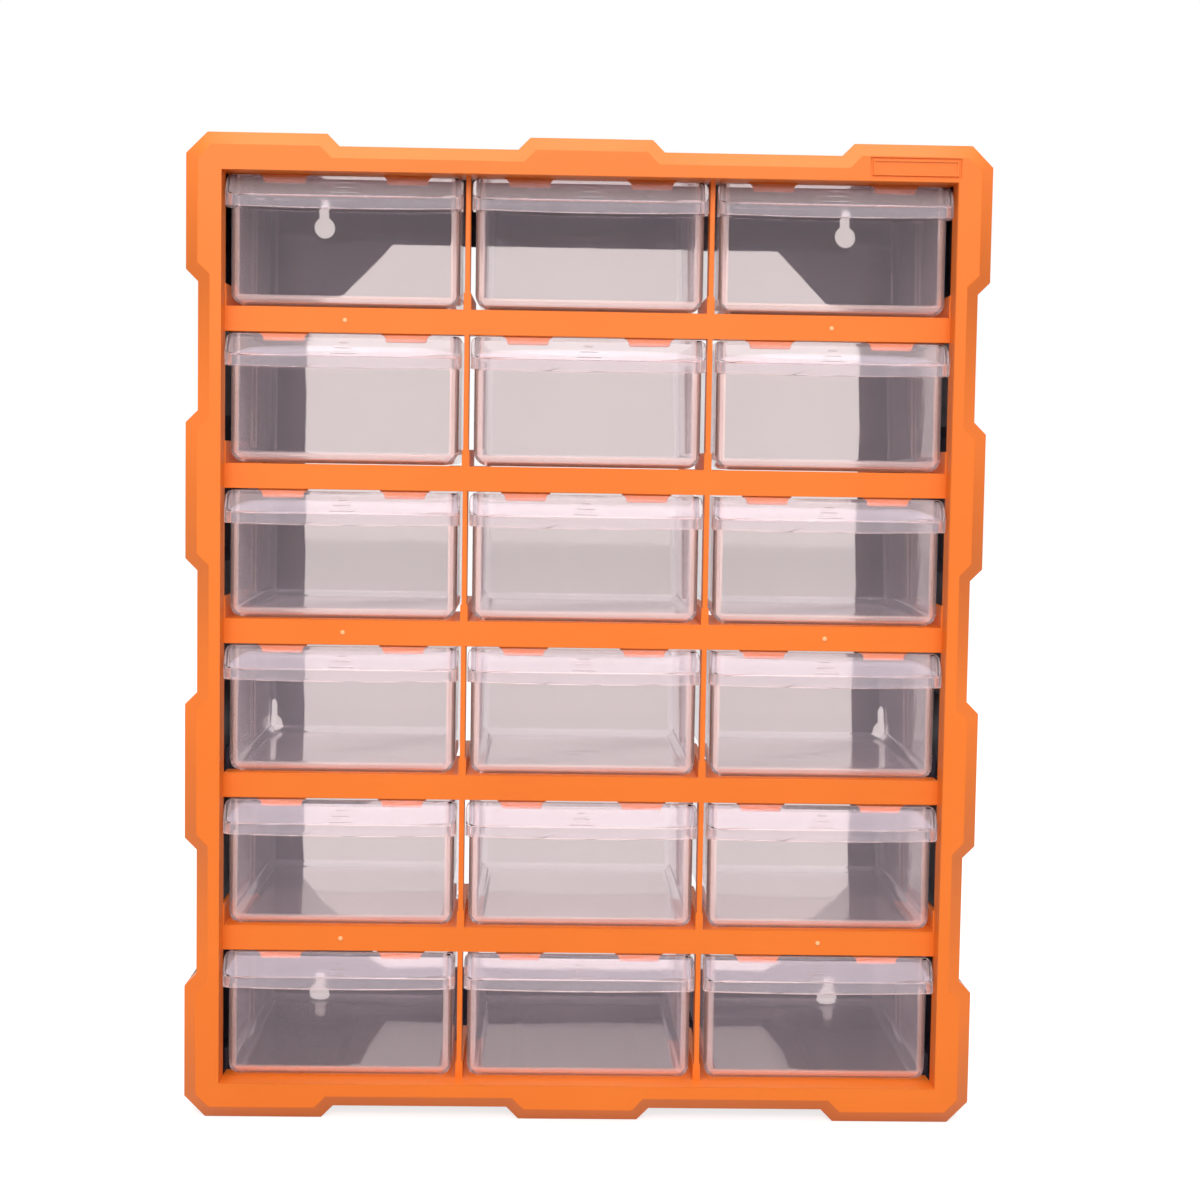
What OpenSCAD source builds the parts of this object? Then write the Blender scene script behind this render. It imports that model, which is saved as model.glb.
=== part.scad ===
// Parts bin cabinet: a moulded front frame, a black rear shell and eighteen
// translucent drawers in three columns and six rows.
//
// +X is to the right, +Y goes back into the cabinet and +Z is up.  The origin is
// the middle of the base: half way across, half way back, on the surface that the
// cabinet stands on.  All sizes are millimetres.

/* [Cabinet] */
// Overall width
cabinet_w = 380; // [340:2:420]
// Overall height
cabinet_h = 470; // [420:2:520]
// Overall depth, from the front of the rim to the outside of the back
cabinet_d = 160; // [130:5:220]

/* [Outline] */
// How far the bumps of the outline stand out of its recessed stretches
bump_out = 5.7; // [3:0.1:7]
// Size of the chamfer across each outer corner
corner_cut = 10; // [6:0.5:16]
// Length of a corner bump's crest along the top and the base
corner_bump_x = 66; // [50:1:80]
// Length of a corner bump's crest along the sides
corner_bump_z = 64; // [50:1:80]
// Length of the crest of the middle bump in the top and the base
middle_bump_x = 57.6; // [40:0.2:80]
// Length of the crest of each side bump between the corners
side_bump_z = 64.4; // [40:0.2:72]
// Height of the side bumps' middles above and below mid height
side_bump_at = 67; // [60:1:76]

/* [Front frame] */
// Wall of the frame's moulding
frame_wall = 2.4; // [1.8:0.1:3]
// Width of the rim on each side, from a bump's crest to the opening
rim_w = 17.5; // [15:0.1:24]
// Height of the rim at the top and at the base, from a bump's crest to the opening
rim_h = 18.1; // [15:0.1:24]
// Size of the bevel round the front of the rim
rim_bevel = 6.5; // [3:0.5:7]
// Depth of the rim, from its front to the back edge of its skirt
rim_d = 22; // [18:1:30]
// How far the grid of bars lies behind the front of the rim
grid_recess = 12; // [11:0.5:15]
// Depth of the bars and dividers, front to back
grid_d = 12; // [8:0.5:16]
// Height of a bar between two rows
bar_h = 12; // [8:0.5:13]
// Width of a divider between two columns
divider_w = 2.4; // [2:0.1:4]
// Wall of a bar's channel section
bar_wall = 2; // [1.5:0.1:3]

/* [Rails and stops] */
// Length of the rails, from the grid's front face backwards
rail_len = 66; // [40:1:100]
// How far a rail's side plate stands in from the side of the bay
rail_in = 0.6; // [0.4:0.1:2]
// Thickness of a rail's side plate at the outer sides of the cabinet
rail_wall = 1.8; // [1.4:0.1:3]
// Height of the side plates beside the dividers
rail_h = 8; // [5:0.5:12]
// Height of the side plates at the outer sides of the cabinet
outer_rail_h = 10.5; // [5:0.5:14]
// Width of a rail's ledge
ledge_w = 9; // [6:0.5:14]
// Thickness of a rail's ledge
ledge_t = 2; // [1.5:0.1:3]
// Width of a stop tab at its root
tab_top_w = 24; // [14:1:30]
// Width of a stop tab at its lower edge
tab_low_w = 18.5; // [10:0.5:24]
// How far a stop tab hangs below the top of its bay
tab_drop = 4.6; // [3:0.1:7]
// Thickness of a stop tab
tab_t = 2.4; // [1.5:0.1:4]
// Distance of each stop tab's middle from the side of its bay
tab_in = 27.7; // [16:0.1:32]

/* [Nameplate recess] */
// Width of the bare nameplate recess in the rim's upper right corner
plate_w = 42.6; // [20:0.2:45]
// Distance of the recess's right end from the side of the cabinet
plate_in = 16.3; // [14:0.1:20]
// Land between the rim's bevel and the recess
plate_above = 0.5; // [0.3:0.1:2]
// Land between the recess and the opening
plate_below = 1.7; // [1:0.1:3]
// Depth of the nameplate recess
plate_d = 0.8; // [0.3:0.1:1.5]
// Width of the raised line round the inside of the recess
plate_line = 0.9; // [0.5:0.1:2]

/* [Rear shell] */
// Wall of the shell
shell_wall = 2.4; // [1.8:0.1:4]
// Depth of the tongue that the frame's skirt slides over
tongue_d = 8; // [4:0.5:12]
// Thickness of the tongue
tongue_t = 1.6; // [1.2:0.1:2.4]
// Width of the back left on each side of its octagonal opening
back_side = 38.5; // [34:0.5:90]
// Height of the back left above and below the opening
back_end = 36.6; // [30:0.2:80]
// Size of the chamfers across the opening's corners
back_open_cut = 47.5; // [20:0.5:70]

/* [Keyholes] */
// Radius of a keyhole's round entry
key_r = 5.7; // [4:0.1:7]
// Width of a keyhole's slot
key_slot = 5.5; // [4:0.1:6.5]
// Height from the entry's centre to the upper end of the slot
key_rise = 13.5; // [9:0.5:16]
// Distance of the corner keyholes' middles from the side of the cabinet
key_in = 48.5; // [42:0.5:70]
// Distance of the corner keyholes' outer ends from the top and the base
key_end = 14.9; // [12:0.1:16]
// Distance of the two middle keyholes from the side of the cabinet
key_mid_in = 21; // [18:0.5:28]
// How far the middle keyholes lie above the lower pair
key_mid_rise = 150.5; // [120:0.5:180]

/* [Drawers] */
// Wall of a drawer
drawer_wall = 1.8; // [1.2:0.1:2.5]
// Play between a drawer and the rails on each side
side_play = 1.8; // [0.5:0.1:2.4]
// Play between the top of a drawer and its bay
top_play = 0.8; // [0.5:0.1:1.5]
// Space between a closed drawer and the back of the shell
rear_play = 8.6; // [4:0.2:20]
// Radius of a drawer's long bottom edges
drawer_edge_r = 7.5; // [4:0.5:12]
// Radius of a drawer's front and back bottom edges
drawer_foot_r = 6; // [4:0.5:10]
// Radius of a drawer's upright corners
drawer_corner_r = 5; // [3:0.5:8]
// How far the pull stands out in front of the drawer
lip_out = 9.5; // [6:0.5:10]
// Width of the pull beyond each side of the drawer
lip_side = 1.4; // [0.8:0.1:1.8]
// Height of the pull's sloping upper face
lip_slope_h = 10.2; // [6:0.2:14]
// Height of the pull's upright skirt
lip_skirt_h = 5.2; // [3:0.2:10]
// Wall of the pull
lip_wall = 1.7; // [1.2:0.1:2.5]
// How much lower the skirt hangs in its middle
lip_dip = 0.8; // [0.4:0.1:2]
// Radius of the pull's corners
lip_r = 3; // [1.8:0.1:4]
// Length of the topmost of the three grip ribs on the pull
grip_top_w = 4.3; // [3:0.1:8]
// Length of the lowest grip rib
grip_low_w = 12; // [8:0.5:20]
// Width of a grip rib
grip_t = 0.8; // [0.6:0.1:1.2]
// How far a grip rib stands out of the pull
grip_out = 0.35; // [0.2:0.05:0.6]
// How far the ribs that hold a loose divider end below the drawer's top edge
slot_rib_end = 9.7; // [2:0.1:30]
// Width of the slot between two such ribs
slot_w = 1.8; // [1:0.1:3]
// How far those ribs stand out of the side walls, and their thickness
slot_rib = 1.2; // [0.8:0.1:2]

/* [Clearances] */
// Gap under each drawer, at each stop tab and in the snap joint
fit_gap = 0.3; // [0.2:0.05:0.5]
// Gap between the frame's grid and the rails of the shell
rail_gap = 0.5; // [0.3:0.1:2]

/* [Hidden] */
columns = 3;
rows = 6;
bays = [for (row = [1:rows], column = [1:columns]) [row, column]];
function drawer_name(bay) = str("drawer_r", bay[0], "_c", bay[1]);

orange = [1, 0.5, 0.19];
black = [0.08, 0.08, 0.09];
clear = [0.86, 0.85, 0.87, 0.45];

over = 1;             // how far a cutting shape passes the face that it cuts
arc_fn = 64;
wide_arc_fn = 256;

front_y = -cabinet_d / 2;
back_y = cabinet_d / 2;
grid_y = front_y + grid_recess;
skirt_y = front_y + rim_d;
mid_z = cabinet_h / 2;

opening_w = cabinet_w - 2 * rim_w;
opening_h = cabinet_h - 2 * rim_h;
bay_w = (opening_w - (columns - 1) * divider_w) / columns;
bay_h = (opening_h - (rows - 1) * bar_h) / rows;

// The outer rails of these rows are the shell's, not the frame's.
shell_rail_rows = [4, 6];

drawer_w = bay_w - 2 * (rail_in + side_play);
drawer_h = bay_h - fit_gap - top_play;
drawer_d = cabinet_d - grid_recess - shell_wall - rear_play;
lip_w = drawer_w + 2 * lip_side;
lip_h = lip_slope_h + lip_skirt_h;

slot_rib_h = drawer_h - drawer_edge_r - slot_rib_end;

function bay_x(column) = (column - (columns + 1) / 2) * (bay_w + divider_w);
function bay_z(row) = rim_h + (rows - row) * (bay_h + bar_h);

// ---------------------------------------------------------------- outlines

// One quarter of the cabinet's outline, from the top middle to the right middle,
// about the middle of the front.
function outline_quarter() =
    let (hw = cabinet_w / 2, hh = cabinet_h / 2, b = bump_out,
         top_x = middle_bump_x / 2, corner_x = hw - corner_bump_x,
         corner_z = hh - corner_bump_z,
         side_hi = side_bump_at + side_bump_z / 2,
         side_lo = side_bump_at - side_bump_z / 2)
    [[top_x, hh], [top_x + b, hh - b], [corner_x - b, hh - b], [corner_x, hh],
     [hw - corner_cut, hh], [hw, hh - corner_cut],
     [hw, corner_z], [hw - b, corner_z - b], [hw - b, side_hi + b], [hw, side_hi],
     [hw, side_lo], [hw - b, side_lo - b]];

function backwards(points) = [for (i = [len(points) - 1:-1:0]) points[i]];
function flipped(points, sx, sz) = [for (p = points) [sx * p.x, sz * p.y]];

// The whole outline, counter-clockwise as seen from the front.
function outline() =
    let (q = outline_quarter(),
         turn = concat(q, flipped(backwards(q), 1, -1), flipped(q, -1, -1),
                       flipped(backwards(q), -1, 1)))
    [for (p = backwards(turn)) [p.x, p.y + mid_z]];

function unit(v) = v / norm(v);
function inward(a, b) = let (u = unit(b - a)) [-u.y, u.x];

// A closed counter-clockwise outline moved inwards by t, with mitred corners.
function inset(points, t) =
    let (n = len(points))
    [for (i = [0:n - 1])
        let (before = inward(points[(i + n - 1) % n], points[i]),
             after = inward(points[i], points[(i + 1) % n]))
        points[i] + t * (before + after) / (1 + before * after)];

// ----------------------------------------------------------- basic shapes

// Extrudes a shape drawn in X and Z from y backwards by length.
module along_y(y, length) {
    translate([0, y + length, 0]) rotate([90, 0, 0]) linear_extrude(length) children();
}

// Extrudes a shape drawn in Y and Z to both sides of the middle plane.
module across_x(width) {
    translate([-width / 2, 0, 0]) rotate([90, 0, 90]) linear_extrude(width) children();
}

// A rectangle of width w from y = 0 to h with its two lower corners rounded.
module low_rounded(w, h, r) {
    translate([-w / 2, r]) square([w, h - r]);
    translate([r - w / 2, 0]) square([w - 2 * r, h]);
    for (s = [-1, 1]) translate([s * (w / 2 - r), r]) circle(r, $fn = arc_fn);
}

// A rectangle of width w from y = 0 to d with all four corners rounded.
module rounded(w, d, r) {
    translate([-w / 2, r]) square([w, d - 2 * r]);
    translate([r - w / 2, 0]) square([w - 2 * r, d]);
    for (s = [-1, 1], y = [r, d - r])
        translate([s * (w / 2 - r), y]) circle(r, $fn = arc_fn);
}

// ------------------------------------------------------------ front frame

// The opening in the rim, seen from the front, grown by t all round.
module opening_shape(t = 0) {
    translate([-opening_w / 2 - t, rim_h - t])
        square([opening_w + 2 * t, opening_h + 2 * t]);
}

// One bay, seen from the front, grown sideways by tx and up and down by tz.
module bay_shape(bay, tx = 0, tz = 0) {
    translate([bay_x(bay[1]) - bay_w / 2 - tx, bay_z(bay[0]) - tz])
        square([bay_w + 2 * tx, bay_h + 2 * tz]);
}

// Cuts the rim's bevel along the edge from a to b of a counter-clockwise outline.
module bevel_cut(a, b) {
    far = cabinet_w + cabinet_h;
    along = b - a;
    translate([a.x, front_y + rim_bevel, a.y])
        rotate([0, -atan2(along.y, along.x), 0]) rotate([-45, 0, 0])
            translate([-far, -far, -far]) cube([2 * far, 2 * far, far]);
}

// A block as deep as the rim, on a convex outline.  The bevel follows all its
// edges but the one from its last point back to its first.
module bevelled_block(points) {
    difference() {
        along_y(front_y, rim_d) polygon(points);
        for (i = [1:len(points) - 1]) bevel_cut(points[i - 1], points[i]);
    }
}

// One bump of the outline: its crest's points, with a shoulder going down and
// inwards at 45 degrees from each end of it, into the rim.
module bump(crest, down_a, down_b) {
    reach = bump_out + 2 * rim_bevel;
    bevelled_block(concat([crest[0] + reach * down_a], crest,
                          [crest[len(crest) - 1] + reach * down_b]));
}

// The solid rim: a plain block as wide as the recessed stretches, and the bumps
// that stand out of it.
module rim_block() {
    q = outline_quarter();
    core_x = cabinet_w / 2 - bump_out;
    core_z = cabinet_h / 2 - bump_out;
    translate([0, 0, mid_z]) {
        difference() {
            bevelled_block([[core_x, -core_z], [core_x, core_z], [-core_x, core_z],
                            [-core_x, -core_z]]);
            bevel_cut([-core_x, -core_z], [core_x, -core_z]);
        }
        for (up = [0, 1]) mirror([0, 0, up]) {
            bump([q[0], [-q[0].x, q[0].y]], [1, -1], [-1, -1]);
            for (left = [0, 1]) mirror([left, 0, 0]) {
                bump([q[10], q[9]], [-1, -1], [-1, 1]);
                bump([q[6], q[5], q[4], q[3]], [-1, -1], [-1, -1]);
            }
        }
    }
}

// The rim: a skirt, a bevelled front and a wall round the opening, open at the
// back.  The wall ends behind the grid's front, so the shell's black inside shows
// beside the outer drawers.
module rim() {
    front_t = rim_bevel + frame_wall * (sqrt(2) - 1);
    difference() {
        rim_block();
        along_y(front_y + front_t, rim_d) difference() {
            polygon(inset(outline(), frame_wall));
            opening_shape(frame_wall);
        }
        along_y(grid_y + bar_wall, rim_d) opening_shape(frame_wall + over);
        along_y(front_y - over, rim_d + 2 * over) opening_shape();
        nameplate_cut();
    }
}

// A shallow bare recess with a fine raised line just inside its edge.
module nameplate_cut() {
    right = cabinet_w / 2 - plate_in;
    low = cabinet_h - rim_h + plate_below;
    high = cabinet_h - rim_bevel - plate_above;
    line = plate_line;
    along_y(front_y - over, over + plate_d)
        translate([right - plate_w / 2, (low + high) / 2]) difference() {
            square([plate_w, high - low], center = true);
            difference() {
                square([plate_w - 2 * line, high - low - 2 * line], center = true);
                square([plate_w - 4 * line, high - low - 4 * line], center = true);
            }
        }
}

// Bars and dividers: a flat front with a channel section behind it.
module grid() {
    along_y(grid_y, bar_wall) difference() {
        opening_shape(frame_wall / 2);
        for (bay = bays) bay_shape(bay);
    }
    along_y(grid_y, grid_d) intersection() {
        translate([-opening_w / 2, 0]) square([opening_w, cabinet_h]);
        difference() {
            for (bay = bays) bay_shape(bay, divider_w / 2, bar_wall);
            for (bay = bays) bay_shape(bay);
        }
    }
}

// The two tabs under the top of a bay.  A closed drawer's front wall rests
// against them, and an open drawer's back wall catches on them.
module stop_tabs(bay) {
    top = bay_z(bay[0]) + bay_h;
    along_y(grid_y + drawer_wall + fit_gap, tab_t)
        for (s = [-1, 1]) translate([bay_x(bay[1]) + s * (bay_w / 2 - tab_in), top])
            polygon([[-tab_top_w / 2, bar_wall], [-tab_top_w / 2, 0],
                     [-tab_low_w / 2, -tab_drop], [tab_low_w / 2, -tab_drop],
                     [tab_top_w / 2, 0], [tab_top_w / 2, bar_wall]]);
}

// One rail on the side s of a bay, -1 or 1: an upright plate and a ledge under the
// drawer, with a gusset behind the bar.  The plate goes root outside the bay.
module rail(bay, s, upright_h, root) {
    translate([bay_x(bay[1]), 0, bay_z(bay[0])]) mirror([s < 0 ? 1 : 0, 0, 0]) {
        along_y(grid_y, rail_len) translate([bay_w / 2, -ledge_t]) {
            translate([-rail_in, 0]) square([rail_in + root, upright_h + ledge_t]);
            translate([-ledge_w, 0]) square([ledge_w + root, ledge_t]);
        }
        translate([bay_w / 2 - ledge_w / 2, grid_y + grid_d, -ledge_t])
            rotate([0, 90, 0]) linear_extrude(bar_wall)
                polygon([[0, -bar_wall], [0, bar_h / 2], [bar_h / 2, -bar_wall]]);
    }
}

// A bay's rails.  The outer ones of some rows belong to the shell.
module bay_rails(bay) {
    for (s = [-1, 1]) {
        at_end = bay[1] == (s > 0 ? columns : 1);
        if (!at_end) rail(bay, s, rail_h, divider_w / 2);
        else if (len(search(bay[0], shell_rail_rows)) == 0)
            rail(bay, s, outer_rail_h, rail_wall - rail_in);
    }
}

module front_frame() {
    color(orange) {
        rim();
        grid();
        for (bay = bays) {
            stop_tabs(bay);
            bay_rails(bay);
        }
    }
}

// ------------------------------------------------------------- rear shell

// A keyhole with its entry's centre at the origin and its slot going up.
module keyhole() {
    circle(key_r, $fn = arc_fn);
    translate([-key_slot / 2, 0]) square([key_slot, key_rise - key_slot / 2]);
    translate([0, key_rise - key_slot / 2]) circle(key_slot / 2, $fn = arc_fn);
}

// Four keyholes in the back's corners, and two between them at the sides.
module keyholes() {
    low = key_end + key_r;
    high = cabinet_h - key_end - key_rise;
    for (s = [-1, 1]) {
        for (z = [low, high]) translate([s * (cabinet_w / 2 - key_in), z]) keyhole();
        translate([s * (cabinet_w / 2 - key_mid_in), low + key_mid_rise]) keyhole();
    }
}

module back_opening() {
    hw = cabinet_w / 2 - back_side;
    hh = cabinet_h / 2 - back_end;
    c = back_open_cut;
    translate([0, mid_z])
        polygon([[hw - c, hh], [c - hw, hh], [-hw, hh - c], [-hw, c - hh],
                 [c - hw, -hh], [hw - c, -hh], [hw, c - hh], [hw, hh - c]]);
}

// A band of width t that follows the outline, at a distance in inside it.
module outline_band(in, t) {
    difference() {
        polygon(inset(outline(), in));
        polygon(inset(outline(), in + t));
    }
}

// The tongue fits inside the frame's skirt.  Behind the skirt it is rooted in the
// shell's wall.
module tongue() {
    in = frame_wall + fit_gap;
    along_y(skirt_y - tongue_d, tongue_d + fit_gap) outline_band(in, tongue_t);
    along_y(skirt_y + fit_gap, shell_wall)
        outline_band(shell_wall / 2, in + tongue_t - shell_wall / 2);
}

// The shell's own rail for the outer side of a bay: a ledge out to the shell's
// wall, and a side plate.
module shell_rail(row, s) {
    start = grid_y + grid_d + rail_gap;
    length = grid_y + rail_len - start;
    mirror([s < 0 ? 1 : 0, 0, 0]) along_y(start, length) intersection() {
        translate([opening_w / 2, bay_z(row) - ledge_t]) {
            translate([-ledge_w, 0]) square([ledge_w + rim_w, ledge_t]);
            translate([-rail_in, 0]) square([rail_wall, outer_rail_h + ledge_t]);
        }
        polygon(inset(outline(), shell_wall / 2));
    }
}

module rear_shell() {
    shell_y = skirt_y + fit_gap;
    color(black) {
        along_y(shell_y, back_y - shell_y) outline_band(0, shell_wall);
        tongue();
        along_y(back_y - shell_wall, shell_wall) difference() {
            polygon(inset(outline(), shell_wall / 2));
            back_opening();
            keyholes();
        }
        for (row = shell_rail_rows, s = [-1, 1]) shell_rail(row, s);
    }
}

// ---------------------------------------------------------------- drawers

// A block with rounded bottom edges and upright corners.
module tub(w, d, h, edge_r, foot_r, corner_r) {
    intersection() {
        along_y(0, d) low_rounded(w, h, edge_r);
        across_x(w) translate([d / 2, 0]) low_rounded(d, h, foot_r);
        linear_extrude(h) rounded(w, d, corner_r);
    }
}

// The outside of the pull less t, or the space inside it: a sloping face over an
// upright skirt, with rounded corners.
module lip_block(t, low) {
    half_w = lip_w / 2 - t;
    front = t - lip_out;
    slope = atan2(lip_slope_h, lip_out);
    drop = t / cos(slope);
    arc_r = (half_w * half_w + lip_dip * lip_dip) / (2 * lip_dip);
    intersection() {
        across_x(2 * half_w)
            polygon([[drawer_wall, drawer_h - (t > 0 ? drop : 0)],
                     [0, drawer_h - drop],
                     [front, drawer_h - lip_slope_h * -front / lip_out - drop],
                     [front, low], [drawer_wall, low]]);
        linear_extrude(drawer_h + over)
            translate([0, front]) low_rounded(2 * half_w, lip_out + 2 * over, lip_r);
        along_y(-lip_out - over, lip_out + 3 * over)
            translate([0, drawer_h]) scale([1, -1])
                low_rounded(2 * half_w, lip_h + lip_dip + over, lip_r - t / 2);
        if (t == 0)
            along_y(-lip_out - over, lip_out + 3 * over)
                translate([0, drawer_h - lip_h - lip_dip + arc_r])
                    circle(arc_r, $fn = wide_arc_fn);
    }
}

// Three short ribs on the sloping face, each longer than the one above it.
module grip_ribs() {
    down = [0.42, 0.66, 0.9];      // their places, as shares of the way down the slope
    slope = atan2(lip_slope_h, lip_out);
    for (i = [0:2])
        translate([0, -lip_out * down[i], drawer_h - lip_slope_h * down[i]])
            rotate([slope, 0, 0]) translate([0, 0, grip_out - grip_t / 2])
                cube([grip_top_w + (grip_low_w - grip_top_w) * i / 2, grip_t, grip_t],
                     center = true);
}

// The pull: a thin hood across the drawer's front, open below for the fingers.
module pull() {
    difference() {
        lip_block(0, drawer_h - lip_h - lip_dip - over);
        intersection() {
            lip_block(lip_wall, drawer_h - 2 * lip_h);
            translate([-lip_w, -2 * lip_out, 0]) cube([2 * lip_w, 2 * lip_out, drawer_h]);
        }
    }
    grip_ribs();
}

// Two ribs on each side wall, half way back, that hold a loose divider upright.
module slot_ribs() {
    inner = drawer_w / 2 - drawer_wall;
    for (s = [-1, 1], t = [-1, 1])
        translate([s * (inner + (drawer_wall - slot_rib) / 2),
                   drawer_d / 2 + t * (slot_w + slot_rib) / 2,
                   drawer_edge_r + slot_rib_h / 2])
            cube([drawer_wall + slot_rib, slot_rib, slot_rib_h], center = true);
}

// A drawer with its front face in the plane y = 0 and its underside at z = 0.
module drawer() {
    difference() {
        tub(drawer_w, drawer_d, drawer_h, drawer_edge_r, drawer_foot_r, drawer_corner_r);
        translate([0, drawer_wall, drawer_wall])
            tub(drawer_w - 2 * drawer_wall, drawer_d - 2 * drawer_wall, drawer_h,
                drawer_edge_r - drawer_wall, drawer_foot_r - drawer_wall,
                drawer_corner_r - drawer_wall);
    }
    pull();
    slot_ribs();
}

module drawer_in(bay) {
    color(clear)
        translate([bay_x(bay[1]), grid_y, bay_z(bay[0]) + fit_gap]) drawer();
}

// --------------------------------------------------------------- assembly

front_frame();
rear_shell();
for (bay = bays) drawer_in(bay);
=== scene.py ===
import math

import bmesh
import bpy
from mathutils import Matrix, Vector


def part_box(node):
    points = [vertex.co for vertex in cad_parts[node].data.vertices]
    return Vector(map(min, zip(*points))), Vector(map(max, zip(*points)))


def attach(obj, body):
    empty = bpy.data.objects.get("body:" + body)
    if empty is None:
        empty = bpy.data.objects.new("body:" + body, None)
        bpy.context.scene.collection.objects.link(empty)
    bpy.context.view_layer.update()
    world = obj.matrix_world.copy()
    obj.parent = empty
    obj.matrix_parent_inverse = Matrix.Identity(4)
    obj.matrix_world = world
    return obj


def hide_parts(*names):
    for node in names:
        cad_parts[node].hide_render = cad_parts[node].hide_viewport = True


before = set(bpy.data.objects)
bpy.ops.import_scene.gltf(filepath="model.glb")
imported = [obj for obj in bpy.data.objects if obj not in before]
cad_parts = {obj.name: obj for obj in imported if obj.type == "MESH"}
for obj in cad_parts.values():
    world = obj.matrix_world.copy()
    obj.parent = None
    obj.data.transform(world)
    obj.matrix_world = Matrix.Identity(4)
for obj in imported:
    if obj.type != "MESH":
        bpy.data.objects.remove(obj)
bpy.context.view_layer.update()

# The looks of the parts bin cabinet.  But for the gate marks, every piece is a
# softened copy of its CAD node.  Lengths are metres and angles are radians.

COLUMNS = 3
ROWS = 6
BAYS = [(r, c) for r in range(1, ROWS + 1) for c in range(1, COLUMNS + 1)]

# The first drawer's box gives the places of all the others.
FIRST_LOW, FIRST_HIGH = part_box("drawer_r1_c1")
DRAWER_MIDDLE = (FIRST_LOW.x + FIRST_HIGH.x) / 2
DRAWER_HALF_W = (FIRST_HIGH.x - FIRST_LOW.x) / 2
PITCH_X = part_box("drawer_r1_c2")[0].x - FIRST_LOW.x
PITCH_Z = FIRST_LOW.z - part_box("drawer_r2_c1")[0].z


def linked(name, data):
    """A new object in the scene."""
    obj = bpy.data.objects.new(name, data)
    bpy.context.scene.collection.objects.link(obj)
    return obj


# ------------------------------------------------------------------ materials

# Noise textures keep mostly within these values.
NOISE_LOW, NOISE_MID, NOISE_HIGH = 0.3, 0.5, 0.7

MOULDED_IOR, MOULDED_SPECULAR = 1.49, 0.35
CLEAR_IOR = 1.46
SHEEN_ROUGHNESS = 0.3
SHEEN_TINT = (1.0, 0.84, 0.92, 1)
REFLECTION_TINT = (0.95, 0.78, 0.97, 1)
CLEAR_SHADOW = (0.93, 0.92, 0.93, 1)


def new_material(name):
    """A material with an empty node tree, its Principled node and its output."""
    mat = bpy.data.materials.new(name)
    mat.use_nodes = True
    nt = mat.node_tree
    nt.nodes.clear()
    out = nt.nodes.new("ShaderNodeOutputMaterial")
    bsdf = nt.nodes.new("ShaderNodeBsdfPrincipled")
    nt.links.new(bsdf.outputs["BSDF"], out.inputs["Surface"])
    return mat, nt, bsdf, out


def noise(nt, scale, detail, rough=0.5):
    """A noise texture in object coordinates."""
    texture = nt.nodes.new("ShaderNodeTexNoise")
    texture.inputs["Scale"].default_value = scale
    texture.inputs["Detail"].default_value = detail
    texture.inputs["Roughness"].default_value = rough
    place = nt.nodes.new("ShaderNodeTexCoord").outputs["Object"]
    nt.links.new(place, texture.inputs["Vector"])
    return texture.outputs["Fac"]


def ramp(nt, fac, stops):
    """A colour ramp with the given (position, colour) stops."""
    node = nt.nodes.new("ShaderNodeValToRGB")
    elements = node.color_ramp.elements
    while len(elements) < len(stops):
        elements.new(NOISE_MID)
    for element, (at, colour) in zip(elements, stops):
        element.position = at
        element.color = (*colour, 1)
    nt.links.new(fac, node.inputs["Fac"])
    return node.outputs["Color"]


def ranged(nt, value, low, high):
    """A noise value, spread over low to high."""
    node = nt.nodes.new("ShaderNodeMapRange")
    node.inputs["From Min"].default_value = NOISE_LOW
    node.inputs["From Max"].default_value = NOISE_HIGH
    node.inputs["To Min"].default_value = low
    node.inputs["To Max"].default_value = high
    nt.links.new(value, node.inputs["Value"])
    return node.outputs["Result"]


def bump(nt, height, strength, distance, normal=None):
    """A bumped normal, on top of another one if that is given."""
    node = nt.nodes.new("ShaderNodeBump")
    node.inputs["Strength"].default_value = strength
    node.inputs["Distance"].default_value = distance
    nt.links.new(height, node.inputs["Height"])
    if normal is not None:
        nt.links.new(normal, node.inputs["Normal"])
    return node.outputs["Normal"]


def moulded_plastic(name, deep, mid, light, rough, grain, strength):
    """Opaque moulded plastic: faint flow variation, and a fine spark-eroded grain."""
    mat, nt, bsdf, _ = new_material(name)
    flow = noise(nt, scale=9, detail=3, rough=0.55)
    tones = [(NOISE_LOW, deep), (NOISE_MID, mid), (NOISE_HIGH, light)]
    nt.links.new(ramp(nt, flow, tones), bsdf.inputs["Base Color"])
    fine = noise(nt, scale=grain, detail=2, rough=0.6)
    nt.links.new(ranged(nt, fine, *rough), bsdf.inputs["Roughness"])
    wave = bump(nt, noise(nt, scale=45, detail=1), strength=0.12, distance=0.0006)
    surface = bump(nt, fine, strength, distance=0.00012, normal=wave)
    nt.links.new(surface, bsdf.inputs["Normal"])
    bsdf.inputs["IOR"].default_value = MOULDED_IOR
    bsdf.inputs["Specular IOR Level"].default_value = MOULDED_SPECULAR
    return mat


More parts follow.
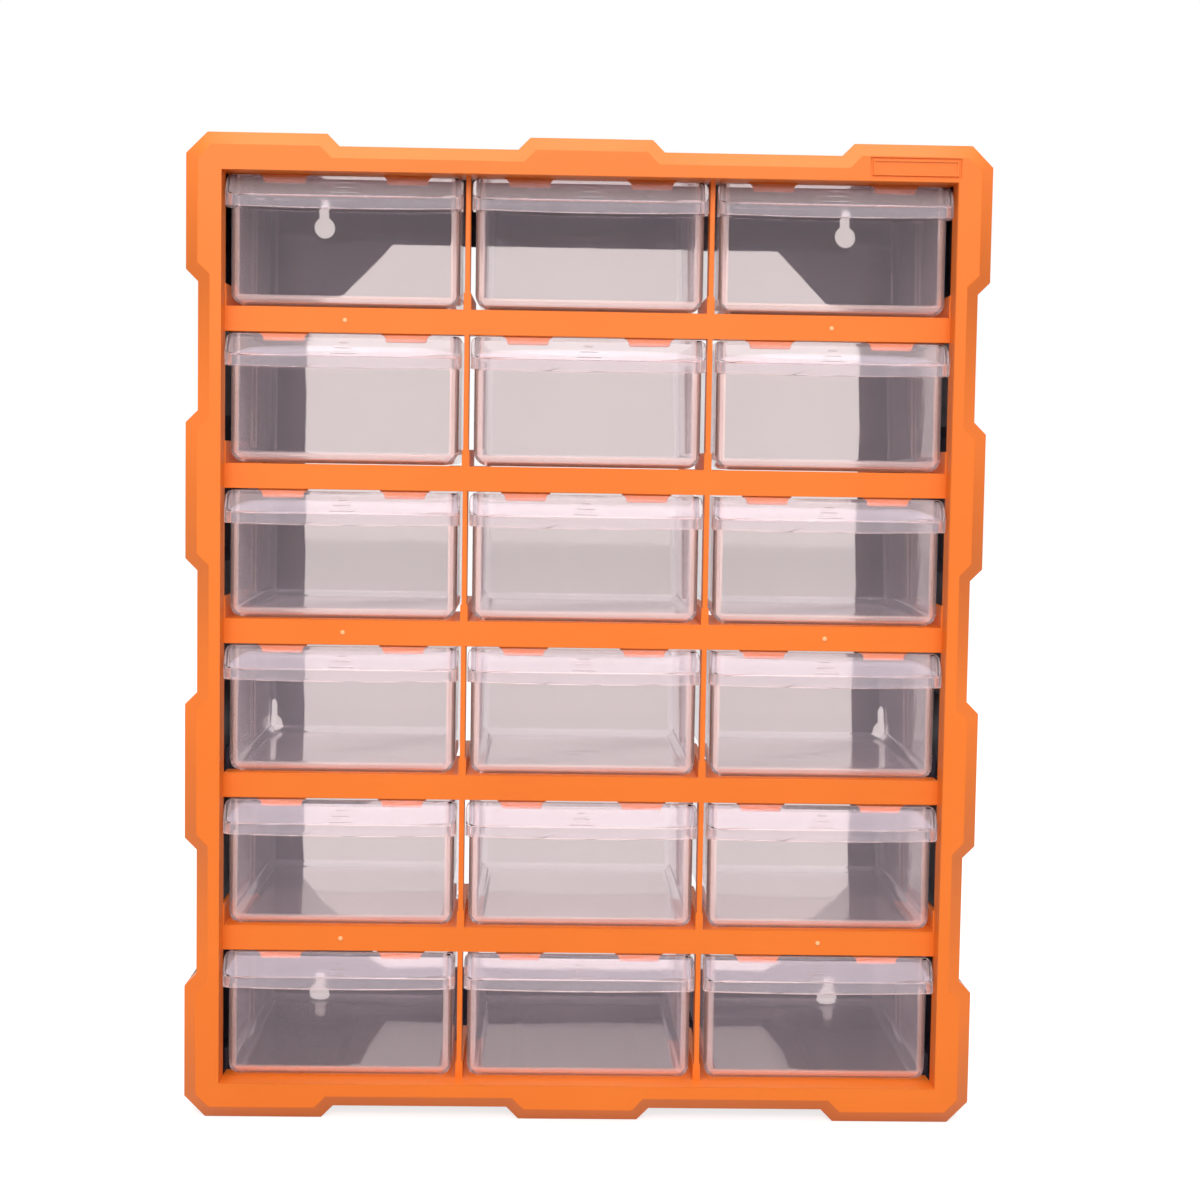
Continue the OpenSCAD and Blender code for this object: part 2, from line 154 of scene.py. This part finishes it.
def clear_plastic(name, deep, light, rough, glass, sheen):
    """Milky clear polypropylene that lets the lamps' light through. The edges'
    version is tinted pink to paint a glow and a reflection of the orange frame.
    """
    mat, nt, bsdf, out = new_material(name)
    haze = noise(nt, scale=14, detail=3, rough=0.6)
    tones = [(NOISE_LOW, deep), (NOISE_HIGH, light)]
    nt.links.new(ramp(nt, haze, tones), bsdf.inputs["Base Color"])
    cloud = noise(nt, scale=60, detail=2)
    nt.links.new(ranged(nt, cloud, *rough), bsdf.inputs["Roughness"])
    wave = bump(nt, noise(nt, scale=70, detail=2), strength=0.08, distance=0.0004)
    nt.links.new(wave, bsdf.inputs["Normal"])
    bsdf.inputs["Sheen Weight"].default_value = sheen
    bsdf.inputs["Sheen Roughness"].default_value = SHEEN_ROUGHNESS
    bsdf.inputs["Sheen Tint"].default_value = SHEEN_TINT
    bsdf.inputs["Specular Tint"].default_value = REFLECTION_TINT
    bsdf.inputs["Transmission Weight"].default_value = glass
    bsdf.inputs["IOR"].default_value = CLEAR_IOR
    through = nt.nodes.new("ShaderNodeBsdfTransparent")
    through.inputs["Color"].default_value = CLEAR_SHADOW
    path = nt.nodes.new("ShaderNodeLightPath")
    mix = nt.nodes.new("ShaderNodeMixShader")
    nt.links.new(path.outputs["Is Shadow Ray"], mix.inputs["Fac"])
    nt.links.new(bsdf.outputs["BSDF"], mix.inputs[1])
    nt.links.new(through.outputs["BSDF"], mix.inputs[2])
    nt.links.new(mix.outputs["Shader"], out.inputs["Surface"])
    return mat


orange = moulded_plastic(
    "orange_plastic", deep=(0.77, 0.158, 0.011), mid=(0.80, 0.169, 0.013),
    light=(0.82, 0.180, 0.016), rough=(0.36, 0.48), grain=1600, strength=0.30)
black = moulded_plastic(
    "black_plastic", deep=(0.022, 0.018, 0.029), mid=(0.027, 0.022, 0.035),
    light=(0.032, 0.027, 0.041), rough=(0.38, 0.52), grain=1300, strength=0.35)
gate = moulded_plastic(
    "orange_gate", deep=(0.95, 0.40, 0.15), mid=(0.97, 0.45, 0.20),
    light=(0.98, 0.50, 0.25), rough=(0.45, 0.60), grain=2600, strength=0.30)
clear = clear_plastic(
    "clear_plastic", deep=(0.812, 0.750, 0.748), light=(0.832, 0.770, 0.768),
    rough=(0.02, 0.05), glass=0.972, sheen=0.4)
frosted = clear_plastic(
    "clear_plastic_pull", deep=(0.93, 0.87, 0.89), light=(0.96, 0.90, 0.92),
    rough=(0.05, 0.10), glass=0.91, sheen=0.22)
# Pink, hazier plastic on the drawers' bevels and front corners: a painted glow along
# the edges and a painted reflection of the orange frame in them.
painted_edge_glow = clear_plastic(
    "clear_plastic_painted_edge_glow", deep=(1.0, 0.77, 0.73), light=(1.0, 0.83, 0.79),
    rough=(0.12, 0.20), glass=0.80, sheen=0.3)

# ------------------------------------------------------------- softened copies

EDGE_ANGLE = math.radians(32)
EDGE_BEVEL = 0.00035
EDGE_SEGMENTS = 2
WEIGHT = "bevel_weight_edge"
# Faces that meet at less than this are one flat face
FLAT_ANGLE = 0.001
EVEN_ROUNDS = 4
MERGE = 1e-6


def even_flats(bm):
    """Evens out the triangles of the flat faces and pairs them into quads."""
    for _ in range(EVEN_ROUNDS):
        flat = [e for e in bm.edges if e.calc_face_angle(1) < FLAT_ANGLE]
        bmesh.ops.beautify_fill(bm, faces=bm.faces[:], edges=flat, method="ANGLE")
    bmesh.ops.join_triangles(bm, faces=bm.faces[:],
                             angle_face_threshold=2 * FLAT_ANGLE,
                             angle_shape_threshold=math.pi)


def add_bevel(obj, material=-1):
    """Softens the weighted edges, in a material slot of their own if one is given."""
    bevel = obj.modifiers.new("edges", "BEVEL")
    bevel.width = EDGE_BEVEL
    bevel.segments = EDGE_SEGMENTS
    bevel.limit_method = "WEIGHT"
    bevel.use_clamp_overlap = False
    bevel.harden_normals = True
    bevel.material = material


def softened(node, name, materials, shape=None):
    """A copy of a CAD node's mesh, with weights on its sharp convex edges."""
    obj = linked(name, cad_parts[node].data.copy())
    obj.data.materials.clear()
    for mat in materials:
        obj.data.materials.append(mat)
    bm = bmesh.new()
    bm.from_mesh(obj.data)
    bmesh.ops.remove_doubles(bm, verts=bm.verts, dist=MERGE)
    even_flats(bm)
    weight = bm.edges.layers.float.new(WEIGHT)
    for e in bm.edges:
        e[weight] = float(e.is_convex and e.calc_face_angle(0) > EDGE_ANGLE)
    if shape is not None:
        shape(bm)
    bm.to_mesh(obj.data)
    bm.free()
    if obj.data.has_custom_normals:
        with bpy.context.temp_override(object=obj, active_object=obj):
            bpy.ops.mesh.customdata_custom_splitnormals_clear()
    obj.data.shade_smooth()
    obj.data.set_sharp_from_angle(angle=EDGE_ANGLE)
    return obj


def housing(node, name, mat):
    """One moulding of the housing."""
    obj = softened(node, name, [mat])
    add_bevel(obj)
    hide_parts(node)
    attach(obj, "cabinet")


housing("front_frame", "frame_moulding", orange)
housing("rear_shell", "shell_moulding", black)

# -------------------------------------------------------------------- drawers

# The material slots of a drawer; the edges' slot holds a painted glow and a painted
# reflection of the orange frame
WALLS, PULL, EDGES = 0, 1, 2

# How far the pull stands out of the tub, and the height of its sloping face
PULL_OUT = 0.0095
SLOPE_H = 0.0102
# The pull ends within this height under the drawer's top
PULL_H = 0.02
PULL_WALL = 0.0018
TUB_FRONT = FIRST_LOW.y + PULL_OUT
TOUCH = 1e-5
# The crown in the middle of the sloping face, and the strips that it is bent in,
# over half of its width and from its top to its bottom
CROWN = 0.0005
STRIPS_HALF_W = 9
STRIPS_DOWN = 8
CUT_SNAP = 1e-7
# What stands out of the sloping face by more than this is a grip rib
RIB_RISE = 0.0002
# Where a rounded corner of the tub meets the pull: the distance in from the pull's
# side and behind the tub's front, and how far round that the edges stay sharp
CORNER_IN = 0.0028
CORNER_BEHIND = 0.0016
CORNER_REACH = 0.0005
# A face is a rounded corner's if its normal lies less than this along every axis
ROUND_FACE = 0.985
# The faces of the pull lie at least this far in front of the tub, and the rounded
# corners in front end this far behind the tub's front
PULL_AHEAD = 0.0004
FRONT_CORNER = 0.003

DOWN_SLOPE = Vector((0, -PULL_OUT, -SLOPE_H)).normalized()
OFF_SLOPE = Vector((0, -SLOPE_H, PULL_OUT)).normalized()
SLOPE_LENGTH = math.hypot(PULL_OUT, SLOPE_H)
SLOPE_TOP = Vector((0, TUB_FRONT, FIRST_HIGH.z))


def in_pull(v):
    """Whether a vertex belongs to the pull."""
    return v.co.y < TUB_FRONT + TOUCH and v.co.z > FIRST_HIGH.z - PULL_H


def at_tub_corner(v):
    """Whether a vertex is where a rounded corner of the tub meets the pull."""
    inwards = DRAWER_HALF_W - abs(v.co.x - DRAWER_MIDDLE)
    return (abs(inwards - CORNER_IN) < CORNER_REACH
            and abs(v.co.y - TUB_FRONT - CORNER_BEHIND) < CORNER_REACH)


def keep_sharp(bm):
    """Takes the grip ribs and the slivers at the tub's corners off the bevel."""
    weight = bm.edges.layers.float[WEIGHT]
    for e in bm.edges:
        on_rib = any((v.co - SLOPE_TOP).dot(OFF_SLOPE) > RIB_RISE
                     for f in e.link_faces for v in f.verts)
        if on_rib or all(at_tub_corner(v) for v in e.verts):
            e[weight] = 0


def cut_strips(bm):
    """Cuts the pull into strips across and along its sloping face."""
    cuts = [(Vector((DRAWER_MIDDLE + i * DRAWER_HALF_W / STRIPS_HALF_W, 0, 0)),
             Vector((1, 0, 0))) for i in range(1 - STRIPS_HALF_W, STRIPS_HALF_W)]
    cuts += [(SLOPE_TOP + DOWN_SLOPE * SLOPE_LENGTH * i / STRIPS_DOWN, DOWN_SLOPE)
             for i in range(1, STRIPS_DOWN)]
    for at, normal in cuts:
        faces = [f for f in bm.faces if all(in_pull(v) for v in f.verts)]
        edges = {e for f in faces for e in f.edges}
        verts = {v for f in faces for v in f.verts}
        bmesh.ops.bisect_plane(bm, geom=list(verts) + list(edges) + faces,
                               dist=CUT_SNAP, plane_co=at, plane_no=normal)


def crown_slope(bm):
    """Gives the sloping face, outside and inside, its slight crown."""
    for v in bm.verts:
        offset = v.co - SLOPE_TOP
        if in_pull(v) and offset.dot(OFF_SLOPE) > -PULL_WALL:
            down = offset.dot(DOWN_SLOPE) / SLOPE_LENGTH
            across = (v.co.x - DRAWER_MIDDLE) / DRAWER_HALF_W
            if 0 < down < 1:
                v.co += (OFF_SLOPE * CROWN * (1 - across * across)
                         * 4 * down * (1 - down))


def part_materials(bm):
    """Gives the pull and the rounded corners their own material slots; the rounded
    corners in front take the edges' slot, with its painted glow.
    """
    for f in bm.faces:
        y = f.calc_center_median().y
        if y < TUB_FRONT - PULL_AHEAD:
            f.material_index = PULL
        elif max(map(abs, f.normal)) < ROUND_FACE:
            f.material_index = EDGES if y < TUB_FRONT + FRONT_CORNER else PULL


def shape_drawer(bm):
    """All that sets the drawer's mesh apart from its CAD node's."""
    keep_sharp(bm)
    cut_strips(bm)
    crown_slope(bm)
    part_materials(bm)


def drawers():
    """Eighteen drawers that share one mesh."""
    first = softened("drawer_r1_c1", "bin_r1_c1", [clear, frosted, painted_edge_glow],
                     shape_drawer)
    for row, column in BAYS:
        node = f"drawer_r{row}_c{column}"
        body = f"bin_r{row}_c{column}"
        piece = first if (row, column) == (1, 1) else linked(body, first.data)
        piece.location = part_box(node)[0] - FIRST_LOW
        # The bevels' faces take the edges' slot, with its painted glow.
        add_bevel(piece, EDGES)
        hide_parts(node)
        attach(piece, body)


drawers()

# ----------------------------------------------------------------- gate marks

# The bars' fronts are flush with the tubs.  A mark is this far under a drawer, on
# every other bar from the top.
BAR_FRONT = TUB_FRONT
GATE_BELOW = 0.0063
GATE_BARS = (0, 2, 4)
# The radius of each ring of a mark, and how far it stands out of the bar
GATE_RINGS = ((0.00115, 0.0), (0.00105, 0.00022), (0.0008, 0.00034),
              (0.0004, 0.00040))
GATE_SIDES = 20


def gate_mark(bm, centre):
    """One round mark, flattened in its middle."""
    turns = [k * math.tau / GATE_SIDES for k in range(GATE_SIDES)]
    rings = [[bm.verts.new(centre + Vector((radius * math.cos(a), -rise,
                                            radius * math.sin(a)))) for a in turns]
             for radius, rise in GATE_RINGS]
    for outer, inner in zip(rings, rings[1:]):
        for k in range(GATE_SIDES):
            after = (k + 1) % GATE_SIDES
            bm.faces.new((outer[k], outer[after], inner[after], inner[k]))
    bm.faces.new(rings[-1])
    bm.faces.new(rings[0][::-1])


def gate_marks():
    """The small round gate marks on the fronts of every other bar."""
    bm = bmesh.new()
    for bar in GATE_BARS:
        for side in (-1, 1):
            height = FIRST_LOW.z - GATE_BELOW - bar * PITCH_Z
            gate_mark(bm, Vector((side * PITCH_X, BAR_FRONT, height)))
    bmesh.ops.recalc_face_normals(bm, faces=bm.faces)
    mesh = bpy.data.meshes.new("gate_dots")
    bm.to_mesh(mesh)
    bm.free()
    mesh.shade_smooth()
    mesh.materials.append(gate)
    obj = linked("gate_dots", mesh)
    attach(obj, "cabinet")


gate_marks()

# --------------------------------------------------------------------- camera

# Where the photo was taken from, fitted to the cabinet's edges in it
EYE = Vector((-0.0166, -1.0700, 0.3206))
AIM = Vector((0.0073, -0.0680, 0.2523))
ROLL = 0.0156
CLIP_START = 0.05
# The sensor's width and the focal length, in millimetres
SENSOR_W = 36
LENS = 62.8


def photo_camera():
    """The camera at the photo's place, with its slight roll."""
    camera = linked("camera", bpy.data.cameras.new("camera"))
    forward = (AIM - EYE).normalized()
    right = forward.cross(Vector((0, 0, 1))).normalized()
    up = right.cross(forward)
    right, up = (right * math.cos(ROLL) + up * math.sin(ROLL),
                 up * math.cos(ROLL) - right * math.sin(ROLL))
    turn = Matrix((right, up, -forward)).transposed()
    camera.matrix_world = Matrix.Translation(EYE) @ turn.to_4x4()
    camera.data.sensor_width = SENSOR_W
    camera.data.lens = LENS
    camera.data.clip_start = CLIP_START
    bpy.context.scene.camera = camera


photo_camera()

# ----------------------------------------------------------- lamps and ground


def softbox(name, at, to, size, power):
    """A rectangular lamp at one point, turned to another."""
    lamp = bpy.data.lights.new(name, "AREA")
    lamp.shape = "RECTANGLE"
    lamp.size, lamp.size_y = size
    lamp.energy = power
    obj = linked(name, lamp)
    obj.location = at
    obj.rotation_euler = (Vector(to) - Vector(at)).to_track_quat("-Z", "Y").to_euler()


softbox("key", at=(-0.1, -1.03, 1.75), to=(-0.1, -0.90, 0.0), size=(1.9, 1.3),
        power=16.5)
softbox("top", at=(0, -0.02, 1.75), to=(0, -0.019, 0.0), size=(1.5, 0.7), power=9)
softbox("fill", at=(-0.1, -2.2, 1.35), to=(0, 0, 0.25), size=(1.8, 1.0), power=36)

WORLD_SEEN = 1.0
WORLD_LIGHT = 0.46

FLOOR_HALF = 6
FLOOR_DROP = 0.0002
FLOOR_TONE = 0.42
FLOOR_ROUGHNESS = 0.9
FLOOR_GLOW = 0.76
# The share of the floor's glow taken off where it is seen through the drawers:
# painted shade, standing in for the cabinet's shadow on the floor behind it
PAINTED_SHADE_THROUGH_GLASS = 0.30


def math_node(nt, operation, *values):
    """A Math node's output, from links and numbers."""
    node = nt.nodes.new("ShaderNodeMath")
    node.operation = operation
    for socket, value in zip(node.inputs, values):
        if isinstance(value, float):
            socket.default_value = value
        else:
            nt.links.new(value, socket)
    return node.outputs[0]


def seen_ray(nt):
    """1 for a camera, glossy or transmission ray."""
    path = nt.nodes.new("ShaderNodeLightPath").outputs
    direct = math_node(nt, "MAXIMUM", path["Is Camera Ray"], path["Is Glossy Ray"])
    return math_node(nt, "MAXIMUM", direct, path["Is Transmission Ray"])


def background(nt, strength):
    """A white background of the given strength."""
    node = nt.nodes.new("ShaderNodeBackground")
    node.inputs["Color"].default_value = (1, 1, 1, 1)
    node.inputs["Strength"].default_value = strength
    return node.outputs["Background"]


def plain_world():
    """White to the eye and in reflections, and a soft even light."""
    world = bpy.data.worlds.new("studio")
    bpy.context.scene.world = world
    world.use_nodes = True
    nt = world.node_tree
    nt.nodes.clear()
    out = nt.nodes.new("ShaderNodeOutputWorld")
    mix = nt.nodes.new("ShaderNodeMixShader")
    nt.links.new(seen_ray(nt), mix.inputs["Fac"])
    nt.links.new(background(nt, WORLD_LIGHT), mix.inputs[1])
    nt.links.new(background(nt, WORLD_SEEN), mix.inputs[2])
    nt.links.new(mix.outputs["Shader"], out.inputs["Surface"])


plain_world()


def floor_paper():
    """White paper that keeps a shadow, with painted shade that makes it a little
    greyer through the drawers.
    """
    mat, nt, bsdf, out = new_material("floor_paper")
    bsdf.inputs["Base Color"].default_value = (FLOOR_TONE,) * 3 + (1,)
    bsdf.inputs["Roughness"].default_value = FLOOR_ROUGHNESS
    path = nt.nodes.new("ShaderNodeLightPath").outputs
    # Painted shade: less glow where the floor is seen through the drawers.
    strength = math_node(nt, "MULTIPLY_ADD", path["Is Transmission Ray"], -PAINTED_SHADE_THROUGH_GLASS,
                         seen_ray(nt))
    glow = nt.nodes.new("ShaderNodeEmission")
    glow.inputs["Color"].default_value = (FLOOR_GLOW,) * 3 + (1,)
    nt.links.new(strength, glow.inputs["Strength"])
    add = nt.nodes.new("ShaderNodeAddShader")
    nt.links.new(bsdf.outputs["BSDF"], add.inputs[0])
    nt.links.new(glow.outputs["Emission"], add.inputs[1])
    nt.links.new(add.outputs["Shader"], out.inputs["Surface"])
    return mat


def plain_floor():
    """A white floor that keeps the object's shadow."""
    bm = bmesh.new()
    bmesh.ops.create_grid(bm, x_segments=2, y_segments=2, size=FLOOR_HALF)
    mesh = bpy.data.meshes.new("floor")
    bm.to_mesh(mesh)
    bm.free()
    mesh.materials.append(floor_paper())
    floor = linked("floor", mesh)
    floor.location = (0, 0, -FLOOR_DROP)


plain_floor()

bpy.context.scene.view_settings.view_transform = "Standard"
